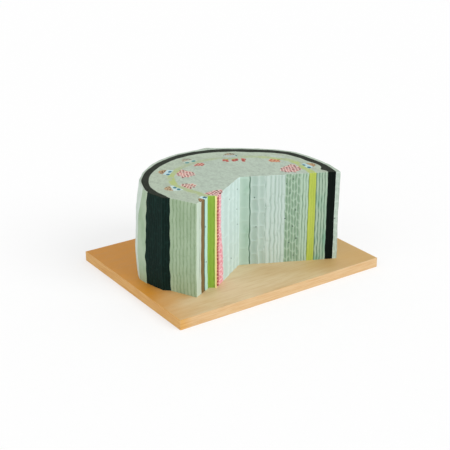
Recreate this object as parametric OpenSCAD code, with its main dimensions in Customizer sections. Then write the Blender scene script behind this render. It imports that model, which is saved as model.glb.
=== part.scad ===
// Plant stem structure model for the classroom: a thick disc of dicot stem on a board.
// The front is cut away, so that each tissue shows in cross section on the top, in
// radial section on the two faces of the notch, and in tangential section at the front left.
// The origin is the middle of the board's underside. X runs along the board, +Z is up.

/* [Baseboard] */
// Length of the board with its edge banding
board_l = 430; // [350:5:530]
// Depth of the board with its edge banding
board_d = 330; // [270:5:420]
// Thickness of the board
board_t = 18; // [14:1:25]
// Thickness of the edge banding
band_t = 1; // [0.6:0.2:3]

/* [Stem] */
// Mean radius of the stem
stem_r = 185; // [150:1:225]
// Height of the stem above the board
stem_h = 170; // [130:5:220]
// Middle of the stem, left or right of the board's middle
stem_x = -23; // [-40:1:40]
// Middle of the stem, behind or before the board's middle
stem_y = -63; // [-80:1:40]

/* [Tissues] */
// Thickness of the epidermis
epidermis_t = 8.5; // [5:0.5:12]
// Thickness of the collenchyma under it
collenchyma_t = 14; // [10:0.5:20]
// Mean thickness of the cortex
cortex_t = 43.5; // [36:0.5:52]
// Thickness of the cambium ring
cambium_t = 10; // [6:0.5:14]
// How far the cambium ring lies off the middle of the stem
ring_shift = 25; // [0:1:30]
// How much the cambium ring is longer one way than the other
ring_oval = 10; // [0:1:12]

/* [Vascular bundles] */
// Where the bundles stand, in degrees round the stem
bundle_angles = [-1, 27, 63, 97, 127, 163, 201];
// Radial length of the xylem
xylem_l = 34; // [24:1:44]
// Width of the xylem where it meets the cambium
xylem_w = 32; // [22:1:40]
// Radial length of the phloem
phloem_l = 12; // [7:0.5:15]
// Radial length of the fibre cap
cap_l = 13; // [6:0.5:16]
// Width of the phloem where it meets the cambium
phloem_w = 29; // [20:1:36]

/* [Cut faces] */
// Direction of the right face
right_cut = -25; // [-40:1:-10]
// Least pith between the right face and the first bundle
right_wall = 13; // [8:0.5:20]
// Direction of the left face
left_cut = 212; // [200:1:225]
// How far inside the cambium the left face crosses the axis of the last bundle
left_crossing = 40; // [36:0.5:44]
// How far round the ring the step runs that lays the cambium open
step_l = 10.8; // [6:0.4:16]
// Distance of the front-left corner from the epidermis
corner_depth = 51; // [44:1:58]
// Depth of the grooves between the columns of cells
rib_depth = 1.2; // [0.6:0.1:2]
// Width of the widest column of pith cells
widest_cell = 19; // [12:0.5:24]
// Width of the narrowest column of pith cells
least_cell = 5.4; // [4:0.2:8]
// Height of a pith cell
cell_h = 27; // [20:1:40]

/* [Fixing] */
// Diameter of a screw's shank
screw_d = 5; // [4:0.5:6]
// Length of a screw
screw_l = 50; // [40:5:60]
// Diameter of a screw's head
screw_head_d = 9.6; // [8:0.2:12]
// Diameter of an anchor plug
plug_d = 30; // [24:1:34]
// Length of an anchor plug
plug_l = 55; // [50:5:70]
// Least wall between a plug and the xylem
plug_wall = 4; // [3:0.5:8]

/* [Hidden] */
$fn = 64;
// The rim of a hand-moulded disc swells and dents: angle, half width and height of each
swells = [[24, 12, 6], [51, 9, -3], [90, 20, 3], [168, 15, -4]];
// Where the collenchyma grows thicker towards the tangential cut: the same three
thick_band = [183, 15, 13.5];
// Where the cambium ring swells and dents
ring_swells = [[16, 12, 6], [178, 15, -8]];
ring_shift_dir = 51;
ring_oval_dir = -23;
cap_gap = 2;          // least cortex left between a fibre cap and the collenchyma
xylem_taper = 0.25;   // how much wider the xylem is at the cambium
outer_cut = 206.6;    // direction of the left face beyond the step
step_share = 0.34;    // how much of the cambium's thickness the step cuts through
tangent_cut = 115.6;  // direction of the tangential face across the cortex
bend_cut = 139;       // direction of the bend at the start of the collenchyma
bend_l = 14;
band_cut = 103;       // direction of the face across the collenchyma
wall_cut = 97;        // direction of the face across the epidermis
far = 3 * stem_r;     // past the rim on every side
crest = 0.15;         // how far the columns' crests lie behind the plane of the cut
past = 0.3;           // how far the grooves reach past their tissue's boundaries
groove_w = 1;         // width of the cross walls' grooves
cell_shrink = 0.8;    // each column of pith cells is this much narrower than the last
widening = 1.3;       // each column on the left face is this much wider than the last
pith_share = 0.715;   // how much of the left face is pith
cells_tall = 38;      // height of the cells in the narrow columns
wide_columns = 7;
clearance = 0.1;      // round a screw and a plug
head_h = (screw_head_d - screw_d) / 2;
head_sink = 0.5;
tip_h = 6;
recess_w = 1.2;
recess_l = 5;
recess_h = 1.6;
plug_angles = [45, 90, 145];
arc_step = 3;

bundles = len(bundle_angles);

// A swelling that dies away on both sides of its angle
function turn(a) = a - 360 * round(a / 360);
function swell(a, s) = s[2] * exp(-pow(turn(a - s[0]) / s[1], 2));
function sum(v, i = 0) = i < len(v) ? v[i] + sum(v, i + 1) : 0;

// Where each tissue ends, from the middle of the stem, at angle a
rim = function (a) stem_r + sum([for (s = swells) swell(a, s)]);
band_out = function (a) rim(a) - epidermis_t;
band_in = function (a) band_out(a) - collenchyma_t - swell(a, thick_band);
ring_mid = function (a) stem_r - epidermis_t - collenchyma_t - cortex_t - cambium_t / 2
    + ring_shift * cos(a - ring_shift_dir) + ring_oval * cos(2 * (a - ring_oval_dir))
    + sum([for (s = ring_swells) swell(a, s)]);
ring_out = function (a) ring_mid(a) + cambium_t / 2;
ring_in = function (a) ring_mid(a) - cambium_t / 2;
corner_r = function (a) rim(a) - corner_depth;

// The distance from p, in direction d, at which the line crosses the boundary f
function reach(p, d, f, low = 0, high = far, n = 30) =
    n == 0 ? (low + high) / 2 :
    let (m = (low + high) / 2, q = p + m * [cos(d), sin(d)])
    norm(q) < f(atan2(q.y, q.x)) ? reach(p, d, f, m, high, n - 1) : reach(p, d, f, low, m, n - 1);
function along(p, d, s) = p + s * [cos(d), sin(d)];

// Where the line through p in direction d meets the line through q in direction e
function meeting(p, d, q, e) = along(p, d, cross(q - p, [cos(e), sin(e)]) / sin(e - d));

// The middle of the xylem on its bundle's axis, and half its length
xylem_half = (xylem_l + cambium_t) / 2;
function xylem_r(a) = ring_in(a) - xylem_l + xylem_half;

// The right face passes clear of the first bundle and the left face cuts the last one
// open, so the bundles set the apex of the notch
first_angle = bundle_angles[0];
last_angle = bundle_angles[len(bundle_angles) - 1];
first_xylem = along([0, 0], first_angle, xylem_r(first_angle));
right_point = along(first_xylem, right_cut - 90, xylem_w / 2 + right_wall);
left_point = along([0, 0], last_angle, ring_in(last_angle) - left_crossing);
apex = meeting(right_point, right_cut, left_point, left_cut);

// The left side of the cut, leg by leg from the apex to the rim
step_start = along(apex, left_cut, reach(apex, left_cut, ring_in));
step_angle = atan2(step_start.y, step_start.x) - step_l / norm(step_start) * 180 / PI;
step_end = along([0, 0], step_angle, ring_in(step_angle) + step_share * cambium_t);
corner = along(step_end, outer_cut, reach(step_end, outer_cut, corner_r));
band_start = along(corner, tangent_cut, reach(corner, tangent_cut, band_in));
bend_end = along(band_start, bend_cut, bend_l);
band_end = along(bend_end, band_cut, reach(bend_end, band_cut, band_out));

// Edges of the columns of cells on a face, from distance a to b
function evenly(a, b, n) = [for (i = [0:n]) a + (b - a) * i / n];
function cell_w(i) = max(least_cell, widest_cell * pow(cell_shrink, i));
function narrowing(b, a = 0, i = 0) =
    a + 1.6 * cell_w(i) > b ? [a, b] : concat([a], narrowing(b, a + cell_w(i), i + 1));

function widening(b, n) = [for (i = [0:n]) b * (pow(widening, i) - 1) / (pow(widening, n) - 1)];

pith_edges = narrowing(reach(apex, right_cut, ring_in));
left_edges = widening(pith_share * reach(apex, left_cut, ring_in), 4);

// The whole disc of stem inside a boundary, and the ring between two boundaries
module inside_of(outer) {
    polygon([for (a = [0:arc_step:359]) outer(a) * [cos(a), sin(a)]]);
}
module zone(outer, inner) {
    difference() {
        inside_of(outer);
        inside_of(inner);
    }
}

// What lies in front of the two cuts and of the tangential face
module cut_away() {
    polygon([
        apex, along(apex, right_cut, far), [far, -far], [-far, -far],
        along(band_end, wall_cut, far), band_end, bend_end, band_start,
        corner, step_end, step_start
    ]);
}

// What is taken off a flat face to leave rounded columns; side is 1 where the tissue
// lies to the left of the direction d, and -1 where it lies to the right
module valleys(p, d, side, edges, depth = rib_depth) {
    count = len(edges) - 1;
    translate(p) rotate(d) mirror([0, side < 0 ? 1 : 0])
        difference() {
            translate([edges[0] - past, -1])
                square([edges[count] - edges[0] + 2 * past, 1 + 0.85 * depth]);
            for (i = [0:count - 1]) {
                w = edges[i + 1] - edges[i];
                r = (w * w / 4 + depth * depth) / (2 * depth);
                translate([(edges[i] + edges[i + 1]) / 2, r + crest]) circle(r);
            }
        }
}

module right_valleys(edges, depth = rib_depth) valleys(apex, right_cut, 1, edges, depth);

// The columns of each tissue on the right face
module pith_relief() {
    right_valleys(pith_edges, 1.4 * rib_depth);
    valleys(apex, left_cut, -1, left_edges, rib_depth);
}
module cambium_relief() {
    right_valleys(evenly(reach(apex, right_cut, ring_in), reach(apex, right_cut, ring_out), 3), 0.6);
}
module cortex_relief() {
    right_valleys(evenly(reach(apex, right_cut, ring_out), reach(apex, right_cut, band_in), 4));
    valleys(corner, tangent_cut, -1, evenly(4, reach(corner, tangent_cut, band_in), 7));
}
module collenchyma_relief() {
    right_valleys(evenly(reach(apex, right_cut, band_in), reach(apex, right_cut, band_out), 3));
    valleys(bend_end, band_cut, -1, evenly(0, reach(bend_end, band_cut, band_out), 4));
}
module epidermis_relief() {
    right_valleys(evenly(reach(apex, right_cut, band_out), reach(apex, right_cut, rim) + 1, 2), 0.8);
}

// A tissue as tall as the stem, standing on the board
module tissue() {
    translate([stem_x, stem_y, board_t]) linear_extrude(stem_h) children();
}

// Outline of the xylem of a bundle at angle a, an egg with its broad end in the cambium
function egg() = [for (t = [0:12:359])
    [xylem_half * cos(t), xylem_w / 2 * sin(t) * (1 + xylem_taper * cos(t))]];
module xylem_outline(a) {
    rotate(a) translate([xylem_r(a), 0]) polygon(egg());
}

// Outline of the phloem and fibre cap together, a dome that stands on the cambium
function dome_l(a) = min(phloem_l + cap_l, band_in(a) - ring_out(a) - cap_gap);
module dome_outline(a) {
    rotate(a) translate([ring_out(a), 0])
        polygon([for (t = [0:12:359]) [dome_l(a) * cos(t), phloem_w / 2 * sin(t)]]);
}

module phloem_part(a) {
    rotate(a) translate([0, -phloem_w]) square([ring_out(a) + phloem_l, 2 * phloem_w]);
}

// Thin notches across each column of pith cells, where one cell ends and the next begins
module cross_walls() {
    columns = len(pith_edges) - 1;
    translate([stem_x, stem_y, board_t]) translate(apex) rotate(right_cut)
        for (i = [0:columns - 1]) {
            pitch = i < wide_columns ? cell_h : cells_tall;
            first = pitch * (0.2 + 0.6 * (i % 2));
            for (z = [first:pitch:stem_h - groove_w])
                translate([pith_edges[i], -1, z])
                    cube([pith_edges[i + 1] - pith_edges[i], 1 + rib_depth, groove_w]);
        }
}

// A plug stands as far out as its wall to the circle of bundles, and to the xylem of each
// single bundle, lets it
function plug_room(r, a) = min([for (b = bundle_angles, q = egg())
    norm(q + [xylem_r(b), 0] - r * [cos(a - b), sin(a - b)])]) - plug_wall - plug_d / 2;
function plug_fit(a, low, high, n = 12) =
    n == 0 ? low :
    let (m = (low + high) / 2)
    plug_room(m, a) < 0 ? plug_fit(a, low, m, n - 1) : plug_fit(a, m, high, n - 1);
function plug_r(a) =
    let (most = ring_in(a) - xylem_l - plug_wall - plug_d / 2)
    plug_room(most, a) < 0 ? plug_fit(a, 0, most) : most;
module at_plugs() {
    for (a = plug_angles)
        translate([stem_x, stem_y, 0] + plug_r(a) * [cos(a), sin(a), 0]) children();
}

module screw_hole() {
    translate([0, 0, -1]) cylinder(d = screw_d + 2 * clearance, h = screw_l + 2);
    translate([0, 0, head_sink]) cylinder(d1 = screw_head_d, d2 = screw_d, h = head_h);
    translate([0, 0, -1]) cylinder(d = screw_head_d, h = 1 + head_sink);
}

module screw() {
    difference() {
        union() {
            translate([0, 0, head_sink])
                cylinder(d1 = screw_head_d - 2 * clearance, d2 = screw_d - 2 * clearance, h = head_h);
            translate([0, 0, head_sink + head_h]) cylinder(d = screw_d, h = screw_l - head_h - tip_h);
            translate([0, 0, head_sink + screw_l - tip_h]) cylinder(d1 = screw_d, d2 = 1, h = tip_h);
        }
        for (a = [0, 90]) rotate(a)
            translate([-recess_l / 2, -recess_w / 2, 0]) cube([recess_l, recess_w, head_sink + recess_h]);
    }
}

module baseboard() {
    color("burlywood") difference() {
        translate([band_t - board_l / 2, band_t - board_d / 2, 0])
            cube([board_l - 2 * band_t, board_d - 2 * band_t, board_t]);
        at_plugs() screw_hole();
    }
}

// The front and back strips run the full length and cover the ends of the other two
module long_band(side) {
    color("navajowhite") translate([-board_l / 2, side * (board_d - band_t) / 2 - band_t / 2, 0])
        cube([board_l, band_t, board_t]);
}
module short_band(side) {
    color("navajowhite") translate([side * (board_l - band_t) / 2 - band_t / 2, band_t - board_d / 2, 0])
        cube([band_t, board_d - 2 * band_t, board_t]);
}

module epidermis() {
    color("darkseagreen") tissue() difference() {
        zone(rim, band_out);
        cut_away();
        epidermis_relief();
    }
}

module collenchyma() {
    color("darkslategray") tissue() difference() {
        zone(band_out, band_in);
        cut_away();
        collenchyma_relief();
    }
}

module cortex() {
    color("lightgray") tissue() difference() {
        zone(band_in, ring_out);
        cut_away();
        cortex_relief();
        for (a = bundle_angles) dome_outline(a);
    }
}

module cambium() {
    color("yellowgreen") tissue() difference() {
        zone(ring_out, ring_in);
        cut_away();
        cambium_relief();
    }
}

module pith() {
    color("honeydew") difference() {
        tissue() difference() {
            inside_of(ring_in);
            cut_away();
            pith_relief();
            for (a = bundle_angles) xylem_outline(a);
        }
        cross_walls();
        at_plugs() translate([0, 0, board_t - 1]) cylinder(d = plug_d + 2 * clearance, h = plug_l + 1);
    }
}

module xylem(i) {
    color("lightpink") tissue() difference() {
        intersection() {
            xylem_outline(bundle_angles[i]);
            inside_of(ring_in);
        }
        cut_away();
    }
}

module phloem(i) {
    color("lightblue") tissue() difference() {
        intersection() {
            dome_outline(bundle_angles[i]);
            phloem_part(bundle_angles[i]);
        }
        inside_of(ring_out);
        cut_away();
    }
}

module fibre_cap(i) {
    color("sienna") tissue() difference() {
        dome_outline(bundle_angles[i]);
        phloem_part(bundle_angles[i]);
        cut_away();
    }
}

module anchor_plugs() {
    color("peru") at_plugs() difference() {
        translate([0, 0, board_t]) cylinder(d = plug_d, h = plug_l);
        screw_hole();
    }
}

module fixing_screws() {
    color("silver") at_plugs() screw();
}

baseboard();
long_band(-1);  // band_front
long_band(1);  // band_back
short_band(-1);  // band_left
short_band(1);  // band_right
epidermis();
collenchyma();
cortex();
cambium();
pith();
anchor_plugs();
fixing_screws();
for (i = [0:bundles - 1]) {
    xylem(i);
    phloem(i);
    fibre_cap(i);
}
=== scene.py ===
import bmesh
import bpy
import numpy as np
from mathutils import Euler, Matrix, Vector


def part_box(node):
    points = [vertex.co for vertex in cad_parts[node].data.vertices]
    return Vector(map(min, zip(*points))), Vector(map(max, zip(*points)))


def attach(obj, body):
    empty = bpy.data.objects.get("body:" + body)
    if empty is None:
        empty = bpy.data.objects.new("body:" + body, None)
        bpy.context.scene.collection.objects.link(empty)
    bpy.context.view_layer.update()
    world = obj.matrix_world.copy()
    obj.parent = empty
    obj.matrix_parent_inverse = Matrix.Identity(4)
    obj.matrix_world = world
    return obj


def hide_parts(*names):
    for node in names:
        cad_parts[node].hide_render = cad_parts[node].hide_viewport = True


# A plant stem structure model: a thick disc of stem, cast and painted, on a wooden board.
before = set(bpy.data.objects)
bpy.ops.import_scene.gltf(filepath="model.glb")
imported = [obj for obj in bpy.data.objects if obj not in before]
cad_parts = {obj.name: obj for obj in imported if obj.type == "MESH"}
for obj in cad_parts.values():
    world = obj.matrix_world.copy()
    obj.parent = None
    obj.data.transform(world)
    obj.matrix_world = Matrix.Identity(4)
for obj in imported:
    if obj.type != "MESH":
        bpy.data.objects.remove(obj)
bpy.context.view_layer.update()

# The photographer's view: a little above the model and to the left of the notch,
# far enough away that the board keeps its parallel look.
view_azimuth, view_elevation, view_roll = -34.86, 22.718, 0.146
view_target = Vector((-0.0055, 0.0101, 0.0754))
view_distance = 1.8126
focal_pixels, frame_pixels, sensor = 985.234, 450, 36


def placed(name, data):
    """A new object in the scene."""
    thing = bpy.data.objects.new(name, data)
    bpy.context.scene.collection.objects.link(thing)
    return thing


camera = placed("camera", bpy.data.cameras.new("camera"))
camera.data.sensor_width = sensor
camera.data.lens = focal_pixels / frame_pixels * sensor
tilted = Euler((np.radians(90 - view_elevation), 0, np.radians(view_azimuth))).to_matrix()
turned = tilted @ Matrix.Rotation(np.radians(view_roll), 3, "Z")
camera.matrix_world = Matrix.LocRotScale(view_target + turned @ Vector((0, 0, view_distance)), turned, None)
bpy.context.scene.camera = camera
bpy.context.scene.view_settings.view_transform = "Standard"


def colour(*tone):
    """A screen colour, from 0 to 255, as the linear colour that a shader takes."""
    parts = np.array(tone) / 255
    linear = np.where(parts <= 0.04045, parts / 12.92, ((parts + 0.055) / 1.055) ** 2.4)
    return (*linear.tolist(), 1)


class Value:
    """A shader value in an expression: every operator adds its Math node."""

    def __init__(self, paint, socket):
        self.paint, self.socket = paint, socket

    def math(self, operation, first, second):
        return self.paint.add("Math", {0: first, 1: second}, operation=operation)

    __add__ = __radd__ = lambda self, other: self.math("ADD", self, other)
    __sub__ = lambda self, other: self.math("SUBTRACT", self, other)
    __rsub__ = lambda self, other: self.math("SUBTRACT", other, self)
    __mul__ = __rmul__ = lambda self, other: self.math("MULTIPLY", self, other)


class Paint:
    """A material. Its add() makes a node from its type, settings and sockets."""

    def __init__(self, name, kind="materials"):
        self.material = getattr(bpy.data, kind).new(name)
        self.material.use_nodes = True
        self.tree = self.material.node_tree
        self.tree.nodes.clear()

    def add(self, kind, sockets, output=0, **settings):
        node = self.tree.nodes.new("ShaderNode" + kind)
        for name, setting in settings.items():
            setattr(node, name, setting)
        for name, value in sockets.items():
            if isinstance(value, Value):
                self.tree.links.new(value.socket, node.inputs[name])
            else:
                node.inputs[name].default_value = value
        return Value(self, node.outputs[output]) if node.outputs else node

    def place(self, stretch=(1, 1, 1)):
        """Object coordinates in metres, stretched along each axis."""
        here = self.add("TexCoord", {}, "Object")
        return self.add("Mapping", {"Vector": here, "Scale": stretch})

    def axis(self, number):
        """The place along x, y or z, for 0, 1 or 2."""
        return self.add("SeparateXYZ", {0: self.place()}, number)

    def read(self, name):
        """A value that is stored at the points of the mesh."""
        return self.add("Attribute", {}, "Fac", attribute_name=name)

    def noise(self, scale, detail=3, roughness=0.5, stretch=(1, 1, 1)):
        return self.add("TexNoise", {
            "Vector": self.place(stretch), "Scale": scale, "Detail": detail, "Roughness": roughness})

    def step(self, value, low, high):
        """0 for values below low, 1 above high, a smooth rise between."""
        return self.add("MapRange", {0: value, 1: low, 2: high}, interpolation_type="SMOOTHSTEP")

    def mix(self, factor, first, second):
        """Two tones mixed; three numbers are a screen colour."""
        first, second = (
            tone if isinstance(tone, Value) or len(tone) == 4 else colour(*tone) for tone in (first, second))
        return self.add("Mix", {0: factor, 6: first, 7: second}, 2, data_type="RGBA")

    def over(self, under, tone, value, low, high, most=1):
        """A tone laid over another, more where a value is higher."""
        return self.mix(self.step(value, low, high) * most, under, tone)

    def bump(self, height, distance):
        return self.add("Bump", {"Height": height, "Distance": distance})

    def shade(self, **sockets):
        """The finished surface; the names of its sockets have _ for spaces."""
        named = {name.replace("_", " "): value for name, value in sockets.items()}
        surface = self.add("BsdfPrincipled", named)
        self.add("OutputMaterial", {"Surface": surface})
        return self.material


# The studio: even light from a white room, a broad lamp in front and a little to the
# right, a weaker one low on the left, and a pale floor that looks white to the lens and
# keeps the model's shadow.
room_strength = 0.70
floor_half = 9
white = (1, 1, 1, 1)
floor_grey, floor_seen_grey, floor_lift = 0.8, 0.45, 0.545


def lamp(name, azimuth, elevation, strength, spread):
    """A broad lamp, far away."""
    light = placed(name, bpy.data.lights.new(name, "SUN"))
    light.data.energy = strength
    light.data.angle = np.radians(spread)
    light.rotation_euler = (np.radians(90 - elevation), 0, np.radians(azimuth))


lamp("main_lamp", 25, 36, 1.25, 35)
lamp("side_lamp", -80, 24, 0.55, 60)


def seen(paint):
    """1 for a ray that shows what lies behind the model."""
    ways = [paint.add("LightPath", {}, f"Is {way} Ray") for way in ("Camera", "Glossy", "Transmission")]
    return ways[0] + ways[1] + ways[2]


room = Paint("room", "worlds")
bpy.context.scene.world = room.material
even_light = room.add("Background", {"Color": white, "Strength": room_strength})
white_wall = room.add("Background", {"Color": white, "Strength": 1})
room_light = room.add("MixShader", {0: seen(room), 1: even_light, 2: white_wall})
room.add("OutputWorld", {"Surface": room_light})

floor_mesh = bpy.data.meshes.new("floor")
corners = [(-1, -1), (1, -1), (1, 1), (-1, 1)]
floor_mesh.from_pydata([(floor_half * x, floor_half * y, 0) for x, y in corners], [], [(0, 1, 2, 3)])
floor = placed("floor", floor_mesh)
paper = Paint("paper")
grain = paper.noise(40)


def matt(grey):
    """Paper in a light grey, barely mottled."""
    tone = paper.mix(grain, (*[grey] * 3, 1), (*[grey * 0.985] * 3, 1))
    return paper.add("BsdfDiffuse", {"Color": tone})


glow = paper.add("Emission", {"Color": white, "Strength": floor_lift})
lifted = paper.add("AddShader", {0: matt(floor_seen_grey), 1: glow})
paper_look = paper.add("MixShader", {0: seen(paper), 1: matt(floor_grey), 2: lifted})
paper.add("OutputMaterial", {"Surface": paper_look})
floor_mesh.materials.append(paper.material)

# The baseboard: an 18 mm panel faced with a printed beech laminate, its grain along the
# length. A painted reflection keeps it pale in front, with less of it on the right, and
# painted shade makes it warm and deep towards the back left. Its satin face is lightly scuffed.
board = Paint("beech_laminate")
broad = board.noise(9, stretch=(1, 2.2, 1))
streaks = board.noise(22, 5, 0.6, (1, 14, 14))
fibres = board.noise(60, 4, 0.7, (1, 30, 30))
# Towards the back left, where painted shade takes the place of the painted reflection
painted_shade_to_back_left = board.axis(0) * -1 + 0.9 * board.axis(1) + 0.12 * broad
wood = (222, 201, 162)
# Laid over the wood: a broad random tone, less painted reflection on the right, the painted shade at the
# back left, and the streaks and fibres of the print
for tone, value, low, high, most in (
        ((209, 179, 132), broad, 0.3, 0.7, 1), ((194, 154, 84), board.axis(0), 0.02, 0.2, 0.8),
        ((212, 140, 28), painted_shade_to_back_left, 0.06, 0.24, 0.95), ((186, 140, 84), streaks, 0.42, 0.75, 0.3),
        ((166, 124, 76), fibres, 0.5, 0.8, 0.15)):
    wood = board.over(wood, tone, value, low, high, most)


def repaint(name, material):
    """Gives a CAD node that is kept its material."""
    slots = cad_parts[name].data.materials
    slots.clear()
    slots.append(material)


repaint("baseboard", board.shade(
    Base_Color=wood, Roughness=0.42 + 0.14 * board.noise(90, 4), Specular_IOR_Level=0.3,
    Normal=board.bump(fibres, 0.00008)))

# Edge banding: 1 mm strips of the same print, paler and pinker than the face, glued on
# all four edges. Their grain runs along the board too, and at the far left they turn warm
# and deep with painted shade.
banding = Paint("edge_banding")
band_streaks = banding.noise(26, 4, 0.6, (1, 1, 24))
band_cool = banding.over((226, 192, 144), (212, 168, 112), band_streaks, 0.35, 0.75)
band_painted_shade = banding.over((222, 172, 96), (204, 144, 60), band_streaks, 0.35, 0.75)
# The strip at the far left end takes the painted shade
band_wood = banding.over(band_cool, band_painted_shade, banding.axis(0) * -1, 0.185, 0.213)
banding.shade(
    Base_Color=band_wood, Roughness=0.42 + 0.1 * band_streaks, Normal=banding.bump(band_streaks, 0.00005))
for side in ("front", "back", "left", "right"):
    repaint("band_" + side, banding.material)

# The epidermis: the skin of the stem, the outermost shell of the casting, 8.5 mm of pale
# painted resin. All sizes of the stem are in millimetres and degrees round its middle,
# and every boundary between tissues is a formula of the angle.
mm = 0.001
stem_middle = np.array([-23, -63])
board_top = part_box("baseboard")[1].z / mm
stem_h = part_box("pith")[1].z / mm - board_top
stem_r, epidermis_t, collenchyma_t, cortex_t, cambium_t = 185, 8.5, 14, 43.5, 10
swells = ((24, 12, 6), (51, 9, -3), (90, 20, 3), (168, 15, -4))
band_swells = ((183, 15, 13.5), (-12, 2.6, 6.5), (-4, 4, -3), (55, 34, 2.6))
skin_bulge = (75, 4.5, 7.5)
ring_swells = ((16, 12, 6), (178, 15, -8), (-3, 7, -4), (165, 8, -3), (62, 9, -6))
ring_shift, ring_shift_dir, ring_oval, ring_oval_dir = 25, 51, 10, -23
bundles = (-1, 27, 63, 97, 127, 163, 201)
xylem_l, xylem_w, xylem_taper = 34, 32, 0.25
phloem_l, cap_l, phloem_w, cap_gap = 12, 13, 29, 2
right_cut, right_wall, left_cut, left_crossing = -25, 13, 212, 40
outer_cut, tangent_cut, bend_cut, band_cut, wall_cut = 206.6, 115.6, 139, 103, 97
step_l, step_share, bend_l, corner_depth = 10.8, 0.34, 14, 51


def swell(a, *bells):
    """Bell-shaped swellings, by the angle, width and height of each."""
    return sum(
        height * np.exp(-(((a - angle + 180) % 360 - 180) / width) ** 2) for angle, width, height in bells)


def rim(a):
    """Radius of the stem's outside."""
    return stem_r + swell(a, *swells)


def band_out(a):
    return rim(a) - epidermis_t


def band_in(a):
    return band_out(a) - collenchyma_t - swell(a, *band_swells)


def ring_out(a):
    """Outside of the cambium: a circle, shifted, a little oval, and dented."""
    shifted = ring_shift * np.cos(np.radians(a - ring_shift_dir))
    oval = ring_oval * np.cos(np.radians(2 * (a - ring_oval_dir)))
    return stem_r - epidermis_t - collenchyma_t - cortex_t + shifted + oval + swell(a, *ring_swells)


def ring_in(a):
    return ring_out(a) - cambium_t


def polar(radius, angle):
    """Plan points at a radius and an angle."""
    turned = np.radians(angle)
    return np.stack([radius * np.cos(turned), radius * np.sin(turned)], axis=-1)


def about_middle(points):
    """Radius and angle of plan points, from -90 to 270 degrees."""
    x, y = points[..., 0], points[..., 1]
    return np.hypot(x, y), (np.degrees(np.arctan2(y, x)) + 90) % 360 - 90


def reach(start, direction, edge):
    """Distance at which a line from inside an edge meets it, found by halving."""
    low, high = 0, 3 * stem_r
    for _ in range(40):
        middle = (low + high) / 2
        radius, angle = about_middle(start + middle * polar(1, direction))
        low, high = (middle, high) if radius < edge(angle) else (low, middle)
    return low


def end_at(start, direction, edge):
    """The point at which a line from inside an edge meets it."""
    return start + reach(start, direction, edge) * polar(1, direction)


def meeting(p, d, q, e):
    """Where a line through p in direction d meets one through q in direction e."""
    off, other = q - p, polar(1, e)
    return p + (off[0] * other[1] - off[1] * other[0]) / np.sin(np.radians(e - d)) * polar(1, d)


# The right face clears the first bundle and the left face cuts the last one open
first_xylem = polar(ring_in(bundles[0]) + (cambium_t - xylem_l) / 2, bundles[0])
right_point = first_xylem + (xylem_w / 2 + right_wall) * polar(1, right_cut - 90)
left_point = polar(ring_in(bundles[-1]) - left_crossing, bundles[-1])
apex = meeting(right_point, right_cut, left_point, left_cut)
step_start = end_at(apex, left_cut, ring_in)
step_angle = about_middle(step_start)[1] - np.degrees(step_l / np.hypot(*step_start))
step_end = polar(ring_in(step_angle) + step_share * cambium_t, step_angle)
corner = end_at(step_end, outer_cut, lambda a: rim(a) - corner_depth)
band_start = end_at(corner, tangent_cut, band_in)
bend_end = band_start + bend_l * polar(1, bend_cut)
band_end = end_at(bend_end, band_cut, band_out)
wall_end = end_at(band_end, wall_cut, rim)

# Each flat of the cut: its start, its direction, its length and its outward direction
faces = {}
for name, start, end, turn in (
        ("right", apex, end_at(apex, right_cut, rim), -90), ("left", apex, step_start, 90),
        ("step", step_start, step_end, 90), ("outer", step_end, corner, 90),
        ("chord", corner, band_start, 90), ("bend", band_start, bend_end, 90),
        ("band", bend_end, band_end, 90), ("wall", band_end, wall_end, 90)):
    length = np.hypot(*(end - start))
    way = (end - start) / length
    faces[name] = start, way, length, polar(1, np.degrees(np.arctan2(way[1], way[0])) + turn)


def held(x):
    """x, held between 0 and 1."""
    return np.clip(x, 0, 1)


def ripple(a, b, length, seed):
    """Unevenness of about -1 to 1: five seeded sine waves over a and b."""
    draw = np.random.default_rng(seed)
    ways, shifts, stretches = draw.uniform(0, 6.28, 5), draw.uniform(0, 6.28, 5), draw.uniform(0.7, 1.5, 5)
    return sum(np.sin(6.28 * (a * np.cos(way) + b * np.sin(way)) / (length * stretch) + shift)
               for way, shift, stretch in zip(ways, shifts, stretches)) / 3


def cells(edges, pitch, depth, dark, seed, ends=0.7, wavy=0.5, slant=0, pinch=0, cushion=0, power=4):
    """Upright columns of hollow cells: a function that gives lift and shade at distance s and
    height z. Over a cell x and y run from -1 to 1, and its hollow is 1 less a power of x,
    times 1 less a share of a power of y. A cushion is the other way round, with deep lines. A
    pinch narrows the ends of a cell, and a slant tips its cross walls to and fro."""
    edges, count = np.asarray(edges, float), len(edges) - 1
    forms = (pitch, depth, dark, slant, ends, pinch, cushion, power)

    def carving(s, z):
        s = s + wavy * ripple(0.4 * s, z, 26, seed)
        column = np.clip(np.searchsorted(edges, s, side="right") - 1, 0, count - 1)
        left, right = edges[column], edges[column + 1]
        tall, deep, tone, tip, end, narrow, soft, sharp = (
            np.broadcast_to(form, count)[column] for form in forms)
        waver = 0.12 * ripple(z, 37 * column, 13, seed)
        across = np.clip(2 * (s - left) / (right - left) - 1 + waver, -1, 1)
        shifts = np.random.default_rng(seed).random(count)
        rise = z / tall + shifts[column] + tip * across * (1 - 2 * (column % 2))
        rise = rise + 0.2 * ripple(z / tall, 3.7 * column, 2.5, seed)
        upright = np.abs(2 * (rise % 1) - 1)
        crossing = end * upright ** (tall / 2.6)
        side = np.abs(across * (1 + narrow * upright ** 2)) ** sharp
        hollow = held(1 - side) * (1 - crossing)
        hollow = np.where(soft > 0, np.maximum(side, crossing), hollow)
        return -deep * hollow, tone * hollow

    return carving


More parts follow.
